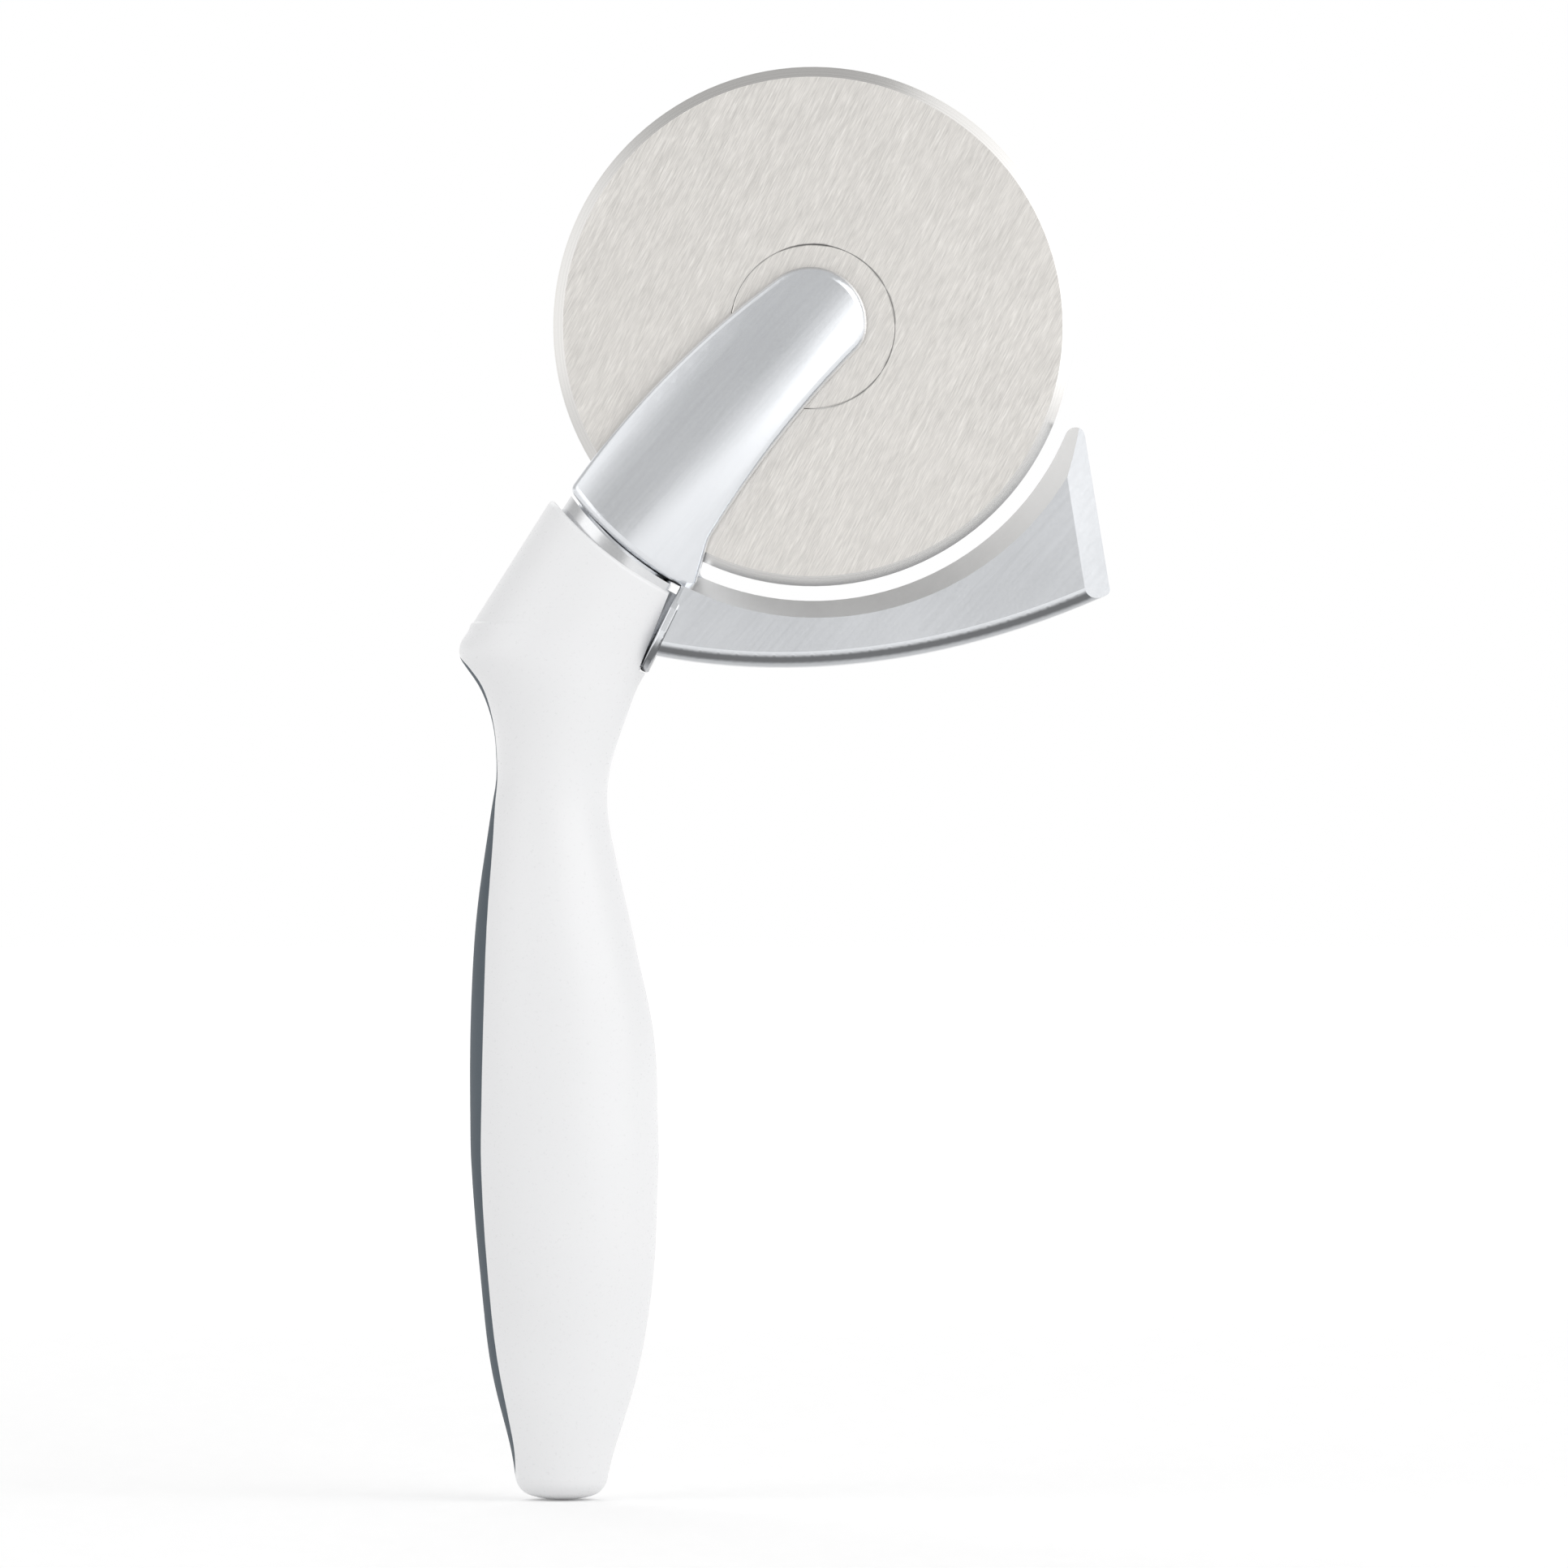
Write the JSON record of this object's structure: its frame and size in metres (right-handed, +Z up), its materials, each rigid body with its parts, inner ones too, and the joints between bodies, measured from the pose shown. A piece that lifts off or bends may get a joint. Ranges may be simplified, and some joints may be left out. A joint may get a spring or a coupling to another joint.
{
  "type": "pizza cutter wheel",
  "caption": "Pizza cutter: a bevelled steel wheel spins in a forked metal head with a curved finger guard, on a white moulded handle with a dark soft strip along its back.",
  "frame": {"origin": "middle of the whole tool's bounding box, in the plane of the wheel", "axes": "+Z up along the handle towards the wheel, +X towards the guard's free end, +Y along the wheel's axle away from the viewer"},
  "size_m": [0.095, 0.0218, 0.2096],
  "materials": {
    "wheel_steel": "brushed, with a ground bevel",
    "head_chrome": "satin",
    "collar_chrome": "polished",
    "handle_white": "soft gloss",
    "strip_grey": "matt soft plastic",
    "hub_plastic": "natural nylon",
    "core_plastic": "moulded",
    "plain_steel": "bright turned or stamped"
  },
  "bodies": {
    "tool": {"head_casting": "head_chrome", "axle_screw": "plain_steel", "thrust_washer": "plain_steel", "spring_washer": "plain_steel", "neck_collar": "collar_chrome", "tang": "plain_steel", "tang_pins": "plain_steel", "handle_core": "core_plastic", "handle_shell": "handle_white", "grip_strip": "strip_grey"},
    "wheel": {"blade": "wheel_steel", "hub_bush": "hub_plastic", "hub_ring": "hub_plastic"}
  },
  "joints": [
    {"name": "blade_spin", "type": "hinge", "parent": "tool", "child": "wheel", "pos_m": [0.00422, 0, 0.06683], "axis": [0, 1, 0], "continuous": true}
  ]
}
